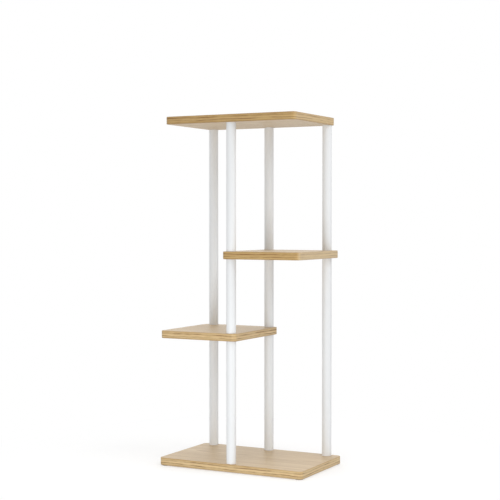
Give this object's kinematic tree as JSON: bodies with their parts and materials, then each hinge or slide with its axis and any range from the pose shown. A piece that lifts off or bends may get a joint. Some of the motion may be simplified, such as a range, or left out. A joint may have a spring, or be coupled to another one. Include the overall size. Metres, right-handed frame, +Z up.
{
  "type": "tiered plant stand",
  "caption": "Free-standing knock-down plant stand: wooden boards at staggered heights, with half-width shelves to the left and right, screwed between round steel tube posts.",
  "frame": {"origin": "on the floor, under the middle of the bottom board", "axes": "+Z up along the posts, +X to the right seen from the front, along the boards' length, and the front faces -Y"},
  "size_m": [0.422, 0.25, 0.93],
  "materials": {
    "light_oak": "pale oak laminate with a satin face, fine grain along the length",
    "oak_edge_band": "golden oak edge band, fine darker grain lines that run round the board",
    "white_tube": "smooth white powder coat, soft gloss",
    "zinc_insert": "bright zinc plate",
    "zinc_fastener": "bright zinc plate",
    "grey_pad": "matt grey rubber"
  },
  "bodies": {
    "root": {"bottom_board": "light_oak", "bottom_board_edge_band": "oak_edge_band", "lower_left_shelf": "light_oak", "lower_left_shelf_edge_band": "oak_edge_band", "middle_right_shelf": "light_oak", "middle_right_shelf_edge_band": "oak_edge_band", "top_board": "light_oak", "top_board_edge_band": "oak_edge_band", "front_tube_lower": "white_tube", "front_tube_lower_foot_insert": "zinc_insert", "front_tube_lower_head_insert": "zinc_insert", "front_tube_middle": "white_tube", "front_tube_middle_foot_insert": "zinc_insert", "front_tube_middle_head_insert": "zinc_insert", "front_tube_upper": "white_tube", "front_tube_upper_foot_insert": "zinc_insert", "front_tube_upper_head_insert": "zinc_insert", "rear_middle_tube_lower": "white_tube", "rear_middle_tube_lower_foot_insert": "zinc_insert", "rear_middle_tube_lower_head_insert": "zinc_insert", "rear_middle_tube_middle": "white_tube", "rear_middle_tube_middle_foot_insert": "zinc_insert", "rear_middle_tube_middle_head_insert": "zinc_insert", "rear_middle_tube_upper": "white_tube", "rear_middle_tube_upper_foot_insert": "zinc_insert", "rear_middle_tube_upper_head_insert": "zinc_insert", "rear_left_tube_lower": "white_tube", "rear_left_tube_lower_foot_insert": "zinc_insert", "rear_left_tube_lower_head_insert": "zinc_insert", "rear_left_tube_upper": "white_tube", "rear_left_tube_upper_foot_insert": "zinc_insert", "rear_left_tube_upper_head_insert": "zinc_insert", "rear_right_tube_lower": "white_tube", "rear_right_tube_lower_foot_insert": "zinc_insert", "rear_right_tube_lower_head_insert": "zinc_insert", "rear_right_tube_upper": "white_tube", "rear_right_tube_upper_foot_insert": "zinc_insert", "rear_right_tube_upper_head_insert": "zinc_insert", "front_bolt_bottom": "zinc_fastener", "front_stud_lower": "zinc_fastener", "front_stud_middle": "zinc_fastener", "front_bolt_top": "zinc_fastener", "rear_middle_bolt_bottom": "zinc_fastener", "rear_middle_stud_lower": "zinc_fastener", "rear_middle_stud_middle": "zinc_fastener", "rear_middle_bolt_top": "zinc_fastener", "rear_left_bolt_bottom": "zinc_fastener", "rear_left_stud_lower": "zinc_fastener", "rear_left_bolt_top": "zinc_fastener", "rear_right_bolt_bottom": "zinc_fastener", "rear_right_stud_middle": "zinc_fastener", "rear_right_bolt_top": "zinc_fastener", "foot_pad_front_left": "grey_pad", "foot_pad_front_right": "grey_pad", "foot_pad_rear_left": "grey_pad", "foot_pad_rear_right": "grey_pad"}
  },
  "joints": []
}
